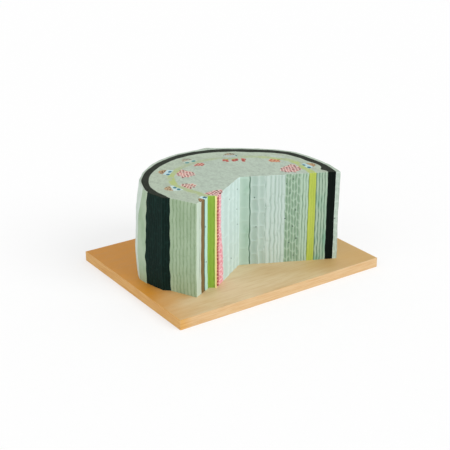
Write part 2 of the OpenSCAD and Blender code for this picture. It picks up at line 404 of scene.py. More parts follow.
def honeycomb(x, y, size, seed):
    """Cells about seeded points on a staggered grid: the distance to the nearest wall, the
    cell's own number from 0 to 1, and the place of its middle."""
    table = np.random.default_rng(seed).random((32, 32, 3))
    nearest = second = np.full(x.shape, np.inf)
    found = np.zeros(x.shape + (3,))
    for i, j in np.ndindex(5, 5):
        column, row = np.floor(x / size) + i - 2, np.floor(y / size) + j - 2
        draw = table[column.astype(int) % 32, row.astype(int) % 32]
        middle_x = (column + 0.5 + 0.4 * (draw[..., 0] - 0.5) + 0.5 * (row % 2 - 0.5)) * size
        middle_y = (row + 0.5 + 0.4 * (draw[..., 1] - 0.5)) * size
        off = np.hypot(x - middle_x, y - middle_y)
        closer = off < nearest
        second = np.where(closer, nearest, np.minimum(second, off))
        nearest = np.where(closer, off, nearest)
        found[closer] = np.stack([draw[..., 2], middle_x, middle_y], axis=-1)[closer]
    return (second - nearest) / 2, *np.moveaxis(found, -1, 0)


# How far the boundaries and the columns of cells sway sideways, at distances along a flat
sways = {
    "right": ((0, 19, 34, 84, 126, 136, 158, 173, 181), (0.3, 0.9, 0.6, 0.4, 0.5, 0.4, 0.5, 0.5, 0.3)),
    "chord": ((0, 8, 52), (0.3, 0.5, 0.8)), "band": ((0, 38), (0.8, 1)), "wall": ((0, 22), (0.8, 0.2)),
    "left": ((0, 12, 104), (0.3, 0.9, 0.3)), "outer": ((0, 20, 42), (0.3, 0.5, 0.3)),
}
edge_round, rim_round = 1.2, 2.2
reach_in = 6

# The outside leans in on the left: how far, at heights above the board, and how much
# further its outer skin falls back near the top
lean_from, lean_to = 95, 165
lean_heights = (0, 50, 74, 98, 122, 134, 146, 158, 170)
lean = (0, -2.6, -1.2, 0.3, 0.6, 0.9, 1.5, 2.2, 3.4)
falls_back = (0, 0, 0, 0, 1, 3.2, 4.6, 7.2, 7.2)


def rounding(under, radius):
    """How far a rounded edge lies back below the top: a quarter circle."""
    left = np.clip(radius - under, 0, radius)
    return radius - np.sqrt(radius ** 2 - left ** 2)


def shape(points, carve, sunk=0):
    """The points of a plain block moved to the surface of the casting, how much painted shade
    its grooves and hollows get, with the red ink between the beads of the cut xylem, and the
    distance behind the nearest flat. The carving, the sway and the round top edge of a flat
    die away inwards; the outside has flutes, a bulge and a lean."""
    plan, z = points[:, :2], points[:, 2]
    x, y = plan.T
    under = stem_h - z
    moved, groove_shade_and_ink, behind = plan.copy(), np.zeros(len(z)), np.full(len(z), reach_in)
    for name, (start, way, length, out) in faces.items():
        s, gap = (plan - start) @ way, -(plan - start) @ out
        near = (s > -0.01) & (s < length + 0.01) & (gap > -0.01) & (gap < reach_in)
        fade = np.where(near, (1 - gap / reach_in) ** 2, 0)
        window = held(s / 1.5) * held((length - s) / 1.5)
        if name in carve:
            lift, cut = carve[name](s, z)
            moved += (lift * window * fade)[:, None] * out
            groove_shade_and_ink = np.maximum(groove_shade_and_ink, cut * window * fade)
        back = rounding(under, edge_round) * np.where(near, held(1 - gap / (3 * edge_round)), 0)
        moved -= back[:, None] * out
        if name in sways:
            amount = np.interp(s, *sways[name]) * ripple(0.5 * s, z, 24, 40 + len(name))
            moved += (amount * fade)[:, None] * way
        behind = np.minimum(behind, np.where(near, np.clip(gap, 0, reach_in), reach_in))
    radius, angle = about_middle(plan)
    depth = np.maximum(rim(angle) - radius, 0)
    skin = held(1 - depth / 9) ** 2
    arc = np.radians(angle) * stem_r
    flutes = 0.7 * ripple(arc, 0.25 * z, 30, 7) + 0.15 * ripple(arc, 0.3 * z, 8, 8) - 0.6
    side = held((angle - lean_from) / (lean_to - lean_from))
    share = held(radius / stem_r) ** 2 * side ** 2 * (3 - 2 * side)
    outermost = held(1 - depth / 12)
    tilt = share * (np.interp(z, lean_heights, lean) + np.interp(z, lean_heights, falls_back) * outermost)
    edge = rounding(under, rim_round) * held(1 - depth / (3 * rim_round))
    moved += polar(flutes * skin + swell(angle, skin_bulge) * skin - tilt - edge, angle)
    warp = 0.45 * np.stack([ripple(x, y, 34, seed) for seed in (5, 6)], axis=-1)
    moved += warp * behind[:, None] / reach_in
    uneven = 0.35 + 0.2 * ripple(x, y, 26, 9)
    drop = (uneven + sunk) * held(1 - under / 8)
    return np.column_stack([moved, z - drop]), groove_shade_and_ink, behind


levels = np.concatenate([np.linspace(0, stem_h - 2.4, 134), stem_h - np.array([1.5, 0.9, 0.4, 0.12, 0])])


def piece_of(name, points, polygons, values):
    """An object from points in millimetres about the middle of the stem, polygons, and values
    at the points for its material."""
    mesh = bpy.data.meshes.new(name)
    mesh.from_pydata(((points + [*stem_middle, board_top]) * mm).tolist(), [], polygons)
    for key, value in values.items():
        mesh.attributes.new(key, "FLOAT", "POINT").data.foreach_set("value", value.astype(np.float32))
    work = bmesh.new()
    work.from_mesh(mesh)
    bmesh.ops.recalc_face_normals(work, faces=work.faces)
    work.to_mesh(mesh)
    work.free()
    mesh.polygons.foreach_set("use_smooth", np.ones(len(mesh.polygons), bool))
    return placed(name, mesh)


def triangles_of(net):
    """Two triangles for each square of a grid of point numbers, but none without area."""
    a, b, c, d = net[:-1, :-1], net[1:, :-1], net[1:, 1:], net[:-1, 1:]
    both = np.concatenate([np.stack(three, -1).reshape(-1, 3) for three in ((a, b, c), (a, c, d))])
    return both[(both != np.roll(both, 1, axis=1)).all(axis=1)].tolist()


def block(name, plan, seen=(), carve=None, marks=None):
    """A closed block of the casting. Its top is plan, a grid of points whose second axis runs
    outwards; a side that is seen is a grid too, a hidden one has a face for each stretch. The
    marks are values at the points for the material; one of them, sunk, lowers the top."""
    sides = {"start": plan[0], "end": plan[-1], "inner": plan[:, 0], "outer": plan[:, -1]}
    carved = [sides[key][end] for key in seen for end in (0, -1)]

    def upright(line, heights):
        return np.dstack([np.repeat(line[:, None], len(heights), axis=1), np.tile(heights, (len(line), 1))])

    grids, rings = [np.dstack([plan, np.full(plan.shape[:2], stem_h)])], []
    for key, line in sides.items():
        if key in seen:
            grids.append(upright(line, levels))
            continue
        line = line[np.append(True, np.hypot(*np.diff(line, axis=0).T) > 1e-4)]
        if len(line) < 3:
            continue
        grids.append(upright(line[1:-1], levels[[0, -1]]))
        for end, inward in ((0, 1), (-1, -2)):
            heights = levels if any(np.allclose(line[end], edge) for edge in carved) else levels[[0, -1]]
            rise, fall = upright(line[[end]], heights)[0], upright(line[[inward]], levels[[-1, 0]])[0]
            rings.append(np.concatenate([rise, fall]))
    loop = np.concatenate([sides["inner"], sides["end"], sides["outer"][::-1], sides["start"][::-1]])
    rings.append(np.column_stack([loop, np.zeros(len(loop))]))
    gathered = np.concatenate([grid.reshape(-1, 3) for grid in grids] + rings)
    points, ids = np.unique(np.round(gathered, 5), axis=0, return_inverse=True)
    ids, used, polygons = ids.reshape(-1), 0, []
    for grid in grids:
        count = grid.shape[0] * grid.shape[1]
        polygons += triangles_of(ids[used:used + count].reshape(grid.shape[:2]))
        used += count
    for ring in rings:
        path = ids[used:used + len(ring)]
        used += len(ring)
        polygons.append(path[path != np.roll(path, 1)].tolist())
    polygons = [polygon for polygon in polygons if len(polygon) > 2]
    values = marks(points) if marks else {}
    solid, groove_shade_and_ink, behind = shape(points, carve or {}, values.pop("sunk", 0))
    piece = piece_of(name, solid, polygons, {"groove_shade_and_ink": groove_shade_and_ink, "behind": behind} | values)
    piece.data.set_sharp_from_angle(angle=np.radians(55))
    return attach(piece, "root")


def walk(points, spacing):
    """Points along straight legs at about one spacing, with every bend."""
    points, parts = np.array(points), []
    for start, end in zip(points[:-1], points[1:]):
        count = max(2, int(np.ceil(np.hypot(*(end - start)) / spacing)))
        parts.append(start + np.linspace(0, 1, count, endpoint=False)[:, None] * (end - start))
    return np.concatenate(parts + [points[-1:]])


def spread(inner, outer, share, a):
    """Plan points at a share of the way between two boundaries."""
    return polar(inner(a) + share * np.maximum(outer(a) - inner(a), 0), a)


def shares_of(line, inner, outer):
    """How far between two boundaries the points of a cut lie, as shares, and their angles."""
    radius, angle = about_middle(line)
    share = (radius - inner(angle)) / (outer(angle) - inner(angle))
    share[0], share[-1] = 0, 1
    return share, angle


def ring_plan(inner, outer, left_line, step=4, corners=()):
    """Plan grid of a ring of tissue: each point of the left cut sets a level, which runs from
    the right face to there."""
    level, last = shares_of(left_line, inner, outer)
    radius, angle = about_middle(apex + np.linspace(60, 200, 1401)[:, None] * polar(1, right_cut))
    first = np.interp(level, (radius - inner(angle)) / (outer(angle) - inner(angle)), angle)
    span = np.radians(last[0] - first[0]) * outer(90)
    near = np.array([0.9, 2, 3.4, 5.2]) / span
    middle = np.linspace(near[-1], 1 - near[-1], int(span / step))
    added = (np.asarray(corners) - first[0]) / (last[0] - first[0])
    u = np.unique(np.concatenate([[0], near[:-1], middle, 1 - near[:-1], [1], added]))
    return spread(inner, outer, level, first + u[:, None] * (last - first))


def moulded(piece, name, base, shade_and_mark_tone, top_tone, mottle,
            roughness=0.62, shine=0.3, tone=None, marked=None):
    """Matt paint on cast resin: a mottled base with painted shade in the grooves and hollows,
    and on the top another tone over a net of fine cells, with the spray of the cambium's
    paint. Two functions can change it: tone the paint of the sides, and marked all of it."""
    paint = Paint(name)
    up = paint.add("SeparateXYZ", {0: paint.add("NewGeometry", {}, "Normal")}, 2)
    on_top = paint.step(up, 0.55, 0.85)
    speck, freckle = paint.noise(700, 2, 0.6), paint.noise(240, 4, 0.7)
    net = paint.add(
        "TexVoronoi", {"Vector": paint.place(), "Scale": 1 / net_cell}, feature="DISTANCE_TO_EDGE")
    wall = 1 - paint.step(net, 0.02, 0.16)
    side = paint.over(base, shade_and_mark_tone, paint.noise(90, 4, 0.6, (1, 1, 0.25)), 0.35, 0.7, mottle)
    # Painted shade: each side turns to its shade tone in its grooves and hollows
    side = paint.mix(paint.read("groove_shade_and_ink"), side, shade_and_mark_tone)
    washed = [0.62 * part for part in colour(*top_tone)[:3]] + [1]
    upper = paint.mix(wall * 0.1 + 0.55 * paint.step(freckle, 0.45, 0.7), top_tone, washed)
    upper = paint.over(upper, washed, paint.noise(130, 3, 0.7, (1, 0.5, 1)), 0.42, 0.66, 0.4)
    patchy = paint.step(paint.noise(55), 0.25, 0.6)
    upper = paint.mix(paint.read("spray") * patchy, upper, (182, 198, 118))
    shown = paint.mix(on_top, tone(paint, side) if tone else side, upper)
    shown = paint.over(shown, shade_and_mark_tone, speck, 0.55, 0.8, 0.12)
    if marked:
        shown = marked(paint, shown, paint.step(up, 0.2, 0.5))
    relief = paint.bump(wall * on_top * 0.5 + speck * 0.35 - on_top * freckle * 1.2, 0.0008)
    piece.data.materials.append(paint.shade(
        Base_Color=shown, Roughness=roughness, Specular_IOR_Level=shine, Normal=relief))


net_cell = 0.0032
pale_top = (191, 207, 190)
# Distances along the right face at which the boundaries cross it
on_right = [reach(apex, right_cut, edge) for edge in (ring_in, ring_out, band_in, band_out, rim)]
# The cut skin: two columns of short cells
epidermis_edge = cells(np.linspace(on_right[3], on_right[4] + 0.5, 3), 14, 0.9, 0.55, 31, 0.8)


def skin_tone(paint, side):
    """Greener paint beside the tangential face."""
    blotch = paint.noise(60, stretch=(1, 1, 0.4))
    greener = paint.over((176, 196, 170), (140, 170, 134), blotch, 0.4, 0.7, 0.6)
    behind = paint.read("behind") + 2 * paint.step(paint.axis(0), -0.1, -0.05)
    return paint.over(greener, side, behind, 0.2, 1.4)


skin_plan = ring_plan(band_out, rim, walk([band_end, wall_end], 1.6), 1.9)
skin = block("epidermis_skin", skin_plan, ("start", "end", "outer"), {"right": epidermis_edge})
moulded(skin, "skin_paint", (209, 223, 212), (162, 184, 168), pale_top, 0.25, tone=skin_tone)
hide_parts("epidermis")

# The collenchyma: the strengthening tissue under the skin, a band of resin painted a
# green that is nearly black. It thickens where the tangential cut begins, and painted
# shade makes its cut on the right darker than the one on the left.
right_cut_painted_shade = lambda paint, side: paint.over(side, (5, 15, 11), paint.axis(0), -0.05, 0)
band_plan = ring_plan(band_in, band_out, walk([band_start, bend_end, band_end], 0.9))
band = block("collenchyma_band", band_plan, ("start", "end"), {
    "right": cells(np.linspace(on_right[2], on_right[3], 4), 33, 0.5, 0.5, 32),
    "band": cells(np.linspace(0, 39, 10), 33, 0.6, 0.7, 33, 0.8),
    "bend": cells(np.linspace(0, 14, 4), 29, 0.3, 0.8, 34)})
moulded(band, "collenchyma_paint", (24, 52, 46), (8, 24, 20), (34, 42, 30), 0.5, 0.6, 0.08, right_cut_painted_shade)
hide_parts("collenchyma")

# The cortex: pale filling tissue between the band and the cambium, cast round the phloem
# and fibre cap of each bundle. Its tangential face shows seven columns of long cells.
seam = 0.3


def dome(a, angle, inset=0):
    """Outer radius of a bundle's phloem and cap at angle a: a half ellipse on the cambium;
    0 where the ray from the middle of the stem passes it by."""
    foot = ring_out(angle)
    long = min(phloem_l + cap_l, band_in(angle) - foot - cap_gap) - inset
    wide = phloem_w / 2 - inset
    c, s = np.cos(np.radians(a - angle)), np.sin(np.radians(a - angle))
    square, half = c ** 2 / long ** 2 + s ** 2 / wide ** 2, foot * c / long ** 2
    inside = half ** 2 - square * (foot ** 2 / long ** 2 - 1)
    far = (half + np.sqrt(np.maximum(inside, 0))) / square
    return np.where((inside > 0) & (far * c >= foot) & (c > 0), far, 0)


def cortex_in(a):
    """The cortex starts at the cambium, or at a bundle's fibre cap."""
    return np.maximum.reduce([ring_out(a)] + [dome(a, angle, seam) for angle in bundles])


def dome_ends(angle, inset=0):
    """The two angles at which a bundle's dome meets the cambium."""
    half = np.degrees(np.arctan2(phloem_w / 2 - inset, ring_out(angle)))
    return angle - half, angle + half


def doubled(angles):
    """Each angle twice, a hair apart, so that a grid can jump there."""
    return np.sort(np.concatenate([np.asarray(angles) - 0.004, np.asarray(angles) + 0.004]))


outer_columns = cells((0, 6.8, 16.2, 24.4, 33, 42), 40, 0.4, 0.2, 37, 0.3)
# How much of the cambium's paint is sprayed on the top, by angle
spray_angles = (-25, 10, 20, 34, 48, 56, 70, 84, 100, 112, 122, 132, 168, 176, 186, 205)
spray_shares = (1, 1, 0.7, 0.6, 0.5, 0, 0, 0.25, 0.15, 0.3, 0.5, 0.9, 0.9, 0.5, 0.55, 0.8)
no_run = -500


def cut_run(points):
    """Distance from the apex along the left side of the cut, below 0 on the right face, and
    no_run away from both. And the spray on the top, which fades 3 mm past the cambium."""
    plan = points[:, :2]
    radius, angle = about_middle(plan)
    past = np.maximum(ring_in(angle) - radius, radius - ring_out(angle))
    spray = np.interp(angle, spray_angles, spray_shares) * held(1 - past / 3)
    run, nearest, done = np.full(len(plan), no_run), np.full(len(plan), reach_in), 0
    for name in ("left", "step", "outer", "right", "chord"):
        start, way, length, _ = faces[name]
        s, gap = (plan - start) @ way, np.abs((plan - start) @ [way[1], -way[0]])
        near = (s > -0.5) & (s < length + 0.5) & (gap < nearest)
        run = np.where(near, {"right": -s, "chord": no_run}.get(name, done + s), run)
        nearest, done = np.where(near, gap, nearest), done + length
    return dict(run=run, spray=spray)


left_l, outer_from = faces["left"][2], faces["left"][2] + faces["step"][2]
# The stripes painted on the left side: where each starts, its tone, and its tone in the
# grooves, which is painted shade, with red ink between the beads
stripes = (
    (91, (240, 160, 132), (134, 10, 12)), (100.2, (244, 240, 164), (226, 214, 128)),
    (left_l + 3, (146, 184, 66), (112, 148, 44)), (outer_from + 4.6, (196, 232, 222), (150, 200, 196)),
    (outer_from + 13.6, (64, 96, 100), (50, 76, 84)), (outer_from + 16, (134, 110, 66), (100, 76, 40)),
    (outer_from + 26.8, (206, 222, 206), (176, 200, 178)),
)


def striped(paint, side):
    """Side paint under the stripes of the left side, whose edges waver; in the grooves each
    turns to its painted shade, and to red ink between the beads.
    """
    groove_shade_and_ink = paint.read("groove_shade_and_ink")
    run = paint.read("run") + (paint.noise(55, 2, stretch=(0.01, 0.01, 1)) * 1.6 - 0.8)
    for start, tone, shade_and_mark_tone in stripes:
        side = paint.over(side, paint.mix(groove_shade_and_ink, tone, shade_and_mark_tone), run, start - 0.35, start + 0.35)
    return side


def cortex_tone(paint, side):
    """The stripes on the left; a bluer tone on the right with painted shade in its grooves, beside a little
    of the cambium's.
    """
    run, blotch = paint.read("run"), paint.noise(34, stretch=(1, 1, 0.5))
    right = paint.over((170, 194, 172), (120, 172, 146), blotch, 0.45, 0.65, 0.8)
    # Painted shade in the grooves of the right face
    right = paint.mix(paint.read("groove_shade_and_ink"), right, (88, 120, 96))
    right = paint.over(right, (186, 200, 86), run, -138.8, -138)
    shown = paint.over(right, striped(paint, side), run, -100, -99)
    return paint.over(side, shown, run, -300, -299)


last_angle = bundles[-1]
cap_cut = end_at(step_end, outer_cut, lambda a: dome(a, last_angle, seam))
cortex_line = walk([cap_cut, corner, band_start], 0.8)
dome_corners = [end for angle in bundles[:-1] for end in dome_ends(angle, seam)]
dome_corners = doubled(np.unique(dome_corners + [dome_ends(last_angle, seam)[0]]))
cortex_plan = ring_plan(cortex_in, band_in, cortex_line, corners=dome_corners)
cortex_edges = np.linspace(on_right[1] + 3.8, on_right[2], 5)
cortex = block("cortex_ring", cortex_plan, ("start", "end"), {
    "right": cells(cortex_edges, 34, 0.9, 0.95, 36, 0.2, 0.4, cushion=1, power=3),
    "chord": cells([0, *np.linspace(4, 53, 8)], 36, 0.9, 0.75, 35, 0.35, 0.4, cushion=1),
    "outer": outer_columns}, cut_run)
moulded(cortex, "cortex_paint", (170, 192, 161), (120, 150, 108), (190, 205, 184), 0.3, tone=cortex_tone)
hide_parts("cortex")

# The cambium: a 10 mm ring of growing tissue in yellow-green, smooth on the cut faces and
# only lightly sprayed on the top, where its edges fade and whole stretches are pale.


cambium_line = walk([step_start, step_end, end_at(step_end, outer_cut, ring_out)], 0.6)
cambium_edges = (on_right[0], on_right[0] + 5, on_right[0] + 9, on_right[1] + 4)
cambium = block("cambium_ring", ring_plan(ring_in, ring_out, cambium_line), ("start", "end"), {
    "right": cells(cambium_edges, 60, 0.35, 0.5, 38, 0.5, cushion=1),
    "step": cells((0, 4.2, 13.5), 400, 0.5, 0.8, 39, 0, cushion=1), "outer": outer_columns}, cut_run)
moulded(cambium, "cambium_paint", (186, 200, 86), (148, 172, 56), (182, 198, 170), 0.2, 0.55, tone=striped)
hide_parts("cambium")

# The pith: the large pale core with the apex of the notch. On the right face its columns
# of cells narrow towards the cambium; on the left face they widen, and lie softer.
widest_cell, cell_shrink, least_cell, cell_h = 19, 0.8, 5.4, 27
# The zone of small cells in front of the cambium: where it starts, and its straight part
ray_zone, straight_zone = 82.5, 110
# How large the xylem of each bundle is beside the common form
xylem_scale = {-1: 1.32, 27: 1.05, 63: 1.45, 97: 0.8, 127: 1.25, 163: 1, 201: 1}


def egg(a, angle, inset=0):
    """Radius at which the ray at angle a meets a bundle's xylem, an egg with its broad end
    in the cambium; and half the angle that it fills."""
    scale = xylem_scale[angle]
    half = (scale * xylem_l + cambium_t) / 2
    t = np.radians(np.linspace(60, 180, 361))
    along = ring_in(angle) - scale * xylem_l + half + (half - inset) * np.cos(t)
    across = (scale * xylem_w / 2 - inset) * np.sin(t) * (1 + xylem_taper * np.cos(t))
    radius, off = np.hypot(along, across), np.degrees(np.arctan2(across, along))
    widest = np.argmax(off)
    turned = np.abs(a - angle)
    met = np.interp(turned, off[widest:][::-1], radius[widest:][::-1])
    return np.where(turned <= off[widest], met, np.inf), off[widest]


def pith_out(a):
    """The pith ends at the cambium, or at a bundle's xylem."""
    return np.minimum.reduce([ring_in(a)] + [egg(a, angle, seam)[0] for angle in bundles])


def notch(a):
    """Radius at which the ray at angle a meets a face of the notch."""
    radii = []
    for start, _, _, out in (faces["right"], faces["left"]):
        toward = polar(1, a) @ out
        radii.append(np.where(toward < -1e-9, (start @ out) / np.minimum(toward, -1e-9), np.inf))
    return np.minimum(*radii)


def pith_columns(s, z):
    """Wide columns with a deep fold after the first, then narrow ones whose cross walls tip
    to and fro, and at last narrow columns of tall cells."""
    wide = np.maximum(least_cell, widest_cell * cell_shrink ** np.arange(7))
    edges = np.array([0, *np.cumsum(wide), *np.linspace(ray_zone, on_right[0], 9)])
    middle = (edges[:-1] + edges[1:]) / 2
    zone = np.digitize(middle, (ray_zone, straight_zone))

    def by_zone(at, wide, small, straight):
        return np.choose(zone, (np.interp(middle, at, wide), small, straight))

    depth = by_zone((10, 27, 42, 70), (1, 2, 1.5, 1), 1.1, 1.1)
    dark = by_zone((10, 27, 42, 50), (0.5, 0.6, 0.45, 0.65), 0.7, 0.9)
    pitch, power = by_zone((42, 50), (cell_h, 60), 17, 30), by_zone((42, 50), (2.2, 3), 3, 3)
    tip, ends, pinch = np.array([(0, 0.12, 0), (0.55, 0.75, 0.3), (0.05, 0.4, 0)])[:, zone]
    cushion = (zone == 2) | ((zone == 0) & (middle > 46))
    lift, shade = cells(edges, pitch, depth, dark, 51, ends, 0.45, tip, pinch, cushion, power)(s, z)
    fold = np.exp(-((s - widest_cell + 0.6 + 0.7 * ripple(z, 0 * z, 22, 53)) / 1.1) ** 2)
    return lift - 2.2 * fold, np.maximum(shade, 2 * fold)


soft_columns = cells((0, 11.8, 27.1, 47.1, 73, 106), 40, 1.2, 0.5, 52, 0.6, 1.6, power=2.5)
ends = [about_middle(end_at(apex, cut, ring_in))[1] for cut in (right_cut, left_cut)]
dense = np.linspace(ends[0], ends[1], 20001)
laid_open = (dense > bundles[-2]) & (notch(dense) > pith_out(dense))
dense = dense[:np.argmax(laid_open) + 1]
on_notch = polar(notch(dense), dense)
notch_steps = np.hypot(*np.diff(on_notch, axis=0).T) / 0.85
ring_steps = np.radians(np.diff(dense)) * ring_in(dense[1:]) / 3
travel = np.concatenate([[0], np.cumsum(np.maximum(notch_steps, ring_steps))])
angles = np.interp(np.linspace(0, travel[-1], int(travel[-1])), travel, dense)
egg_ends = [angle + side * egg(0, angle, seam)[1] for angle in bundles for side in (-1, 1)]
egg_ends = doubled([end for end in egg_ends if ends[0] < end < dense[-1]])
angles = np.unique([*angles, about_middle(apex)[1], *egg_ends])
inner_radius, outer_radius = notch(angles)[:, None], np.maximum(pith_out(angles), notch(angles))[:, None]
v = np.array([0, 0.008, 0.02, 0.04, *np.linspace(0.07, 1, 30)])
pith_plan = polar(inner_radius + v * (outer_radius - inner_radius), angles[:, None])
pith = block("pith_core", pith_plan, ("inner",), {"right": pith_columns, "left": soft_columns}, cut_run)


def pith_tone(paint, side):
    """The right face: greener paint in the first column and the small cells, and painted shade
    that keeps its wide columns a little darker than the left face, darkens the grooves and
    lies deepest in the fold.
    """
    along, groove_shade_and_ink = 0 - paint.read("run"), paint.read("groove_shade_and_ink")
    first = paint.mix(groove_shade_and_ink, (192, 216, 202), (156, 190, 170))
    first = paint.over(first, (134, 176, 146), paint.noise(40, stretch=(1, 1, 0.5)), 0.52, 0.72, 0.6)
    # The wide columns: the pale of the left face, painted a little darker here as shade
    wide = paint.mix(paint.noise(50, 2, stretch=(1, 1, 0.3)), (207, 224, 217), (187, 208, 199))
    wide = paint.mix(groove_shade_and_ink, wide, (150, 178, 162))
    shown = paint.over(first, wide, along, widest_cell - 1, widest_cell)
    green = paint.mix(groove_shade_and_ink, (180, 205, 184), (100, 136, 104))
    shown = paint.over(shown, green, along, ray_zone - 1, ray_zone + 1)
    # Painted shadow deep in the fold after the first column
    shown = paint.over(shown, (84, 116, 98), groove_shade_and_ink, 0.9, 1.9)
    return paint.over(side, shown, along, -0.5, 0.5)


moulded(pith, "pith_paint", (216, 236, 232), (176, 202, 194), pale_top, 0.12, tone=pith_tone)
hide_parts("pith")

# The xylem: seven bundles of red-walled, pink cells, let into the pith with their broad
# ends on the cambium. Each cell is a shallow hollow with a raised, hand-painted wall; the
# left face cuts the last bundle open and shows pink, red and yellow vessels.


def own_axes(plan, angle):
    """Plan points along and across the axis of the bundle at an angle."""
    turned = plan @ np.column_stack([polar(1, angle), polar(1, angle + 90)])
    return turned[..., 0], turned[..., 1]


last_bundle = 6


def bundle_part(name, paint_name, i, plan, side, carve, marks, tones, cut_tone):
    """A part of bundle i, its top painted with walls, cells of varying tones and spots. The
    last bundle is cut open on one side, which is carved and has the tones of the cut."""
    cut = i == last_bundle
    wall_tone, fill_tone, odd_tone, spot_tone = tones

    def marked(paint, shown, on_top):
        fill = paint.over(fill_tone, odd_tone, paint.read("tint"), 0.5, 0.9)
        painted = paint.over(fill, wall_tone, paint.read("wall"), 0.3, 0.6)
        shown = paint.mix(paint.read("inked") * on_top, shown, painted)
        return paint.mix(paint.step(paint.read("spot"), 0.3, 0.7) * on_top, shown, spot_tone)

    part = block(f"{name}_{i + 1}", plan, (side,) if cut else (), carve,
                 lambda points: marks(points, i) | (cut_run(points) if cut else {}))
    moulded(part, f"{paint_name}_{i + 1}", pale_top, pale_top, pale_top, 0,
            tone=cut_tone if cut else None, marked=marked)
    return part


# The tones of the walls, the cells and the odd cells of each bundle
xylem_tones = (
    ((236, 210, 200), (112, 16, 32), (186, 74, 74)), ((222, 176, 140), (160, 36, 24), (194, 102, 62)),
    ((206, 128, 112), (124, 6, 14), (172, 50, 32)), ((218, 166, 150), (134, 18, 30), (182, 80, 62)),
    ((236, 208, 196), (112, 20, 36), (184, 82, 82)), ((232, 210, 196), (124, 36, 42), (184, 108, 90)),
    ((236, 208, 200), (116, 14, 28), (190, 84, 82)),
)
# Where the cells are painted: radius, angle, and half width along and across
painted_xylem = (
    ((111.5, 2, 20.5, 20.5),), ((128, 25.5, 12, 12.5),),
    ((112, 68.2, 10.5, 5.4), (113.5, 60, 11.5, 6.2), (113, 51.4, 9.5, 5)),
    ((113.5, 96.5, 9.5, 10),), ((105, 124.3, 18.5, 20),), ((95, 161, 14.5, 13.5),), ((80, 199, 24, 17),),
)
xylem_cell, lumen_depth = 6, 1.1


def xylem_marks(points, i):
    """Whole hollow cells inside the painted patches of xylem i."""
    along, across = own_axes(points[:, :2], bundles[i])
    gap, tint, middle_x, middle_y = honeycomb(along, across, xylem_cell, 60 + i)
    wall, inked = held(1 - gap / 1.8), np.zeros(len(points))
    for radius, angle, long, wide in painted_xylem[i]:
        x, y = polar(radius, angle - bundles[i])
        inked = np.maximum(inked, ((middle_x - x) / long) ** 2 + ((middle_y - y) / wide) ** 2 < 1)
    return dict(wall=wall, tint=tint, inked=inked, sunk=lumen_depth * inked * (1 - wall) ** 0.5)


def vessels(s, z):
    """The cut xylem: pink pebbles, a column of red beads, a smooth yellow strip."""
    pebbles = held(1 - honeycomb(s * 1.5, z, 5, 71)[0] / 1.5)
    rise = (z - 0.35 * s) / 6 + 0.3 * ripple(z, s, 30, 72)
    bead_side = held(np.abs((s - 95.6) / 4.6))
    gaps = held((np.abs(2 * (rise % 1) - 1) - 0.1) / 0.3)
    beads = 1 - (1 - gaps) * (1 - bead_side ** 6)
    on_beads = held((s - 91) / 0.6) * held((100.2 - s) / 0.6)
    on_pebbles = held((91 - s) / 0.6)
    groove_shade_and_ink = on_beads * beads + on_pebbles * pebbles
    return 0.5 * on_beads - 1.4 * on_beads * beads - 1 * on_pebbles * pebbles, groove_shade_and_ink


def vessel_tone(paint, side):
    """Pink cells that start further out near the top, with painted shade in the hollows between them and on
    the pith beside, and the stripes.
    """
    groove_shade_and_ink = paint.read("groove_shade_and_ink")
    pink_from = 69.5 + 9 * paint.step(paint.axis(2), 0.06, 0.13) + paint.noise(160) * 5
    pink = paint.mix(groove_shade_and_ink, (252, 206, 212), (222, 104, 128))
    pink = paint.over(pink, (255, 236, 234), paint.noise(170, stretch=(1, 1, 3)), 0.45, 0.75, 0.5)
    pith_side = paint.mix(groove_shade_and_ink * 0.5, (216, 236, 232), (176, 202, 194))
    return striped(paint, paint.over(pith_side, pink, paint.read("run") - pink_from, -0.8, 0.8))


def sector(inner, outer, first, last, spacing):
    """Plan grid of a bundle's part, between two boundaries and two angles."""
    span = np.radians(last - first) * outer(np.array((first + last) / 2))
    a = np.linspace(first, last, max(8, int(span / spacing)))[:, None]
    count = max(4, int(np.nanmax(outer(a) - inner(a)) / spacing))
    return spread(inner, outer, np.linspace(0, 1, count), a)


for i, angle in enumerate(bundles):
    half_angle = egg(0, angle)[1]
    last = min(angle + half_angle, ends[1])
    near = lambda a: np.minimum(egg(a, angle)[0], ring_in(a))
    cut_near = lambda a: np.minimum(np.maximum(near(a), notch(a)), ring_in(a))
    inner = cut_near if i == last_bundle else near
    plan = sector(inner, ring_in, angle - half_angle + 1e-4, last - 1e-4, 0.5)
    walls, fills, odd = xylem_tones[i]
    xylem = bundle_part("xylem_vessels", "xylem_paint", i, plan, "inner", {"left": vessels}, xylem_marks,
                        (walls, fills, odd, walls), vessel_tone)
    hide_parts(f"xylem_{i + 1}")

# The phloem: a pale blue lens of small cells outside the cambium of each bundle, with two
# dark blue spots for the sieve tubes. The outer left face cuts the last one lengthwise.
spot_r, phloem_cell = 3.4, 3.2
# The tones of the lens and of its spots
phloem_tones = (
    ((180, 216, 218), (6, 104, 134)), ((190, 204, 188), (150, 178, 176)), ((166, 180, 174), (50, 126, 114)),
    ((190, 208, 190), (60, 140, 140)), ((186, 218, 224), (6, 106, 138)), ((208, 230, 226), (40, 124, 140)),
    ((198, 230, 230), (40, 100, 128)),
)
# Where the two spots of each bundle lie: radius and angle of each
phloem_spots = (
    ((142.4, 1.6), (142.6, -4.8)), ((148.5, 24), (148.5, 30)), ((137, 70), (137, 57)),
    ((135.5, 94.2), (135.5, 100.6)),
    ((133.2, 131.2), (134.4, 125)), ((119.4, 161.4), (115.4, 166.6)), ((101, 197.6), (101, 203)),
)
# How strongly the cells of each bundle are painted
phloem_ink = (1, 0.2, 0.8, 0.5, 1, 0.9, 1)
unspotted = 1


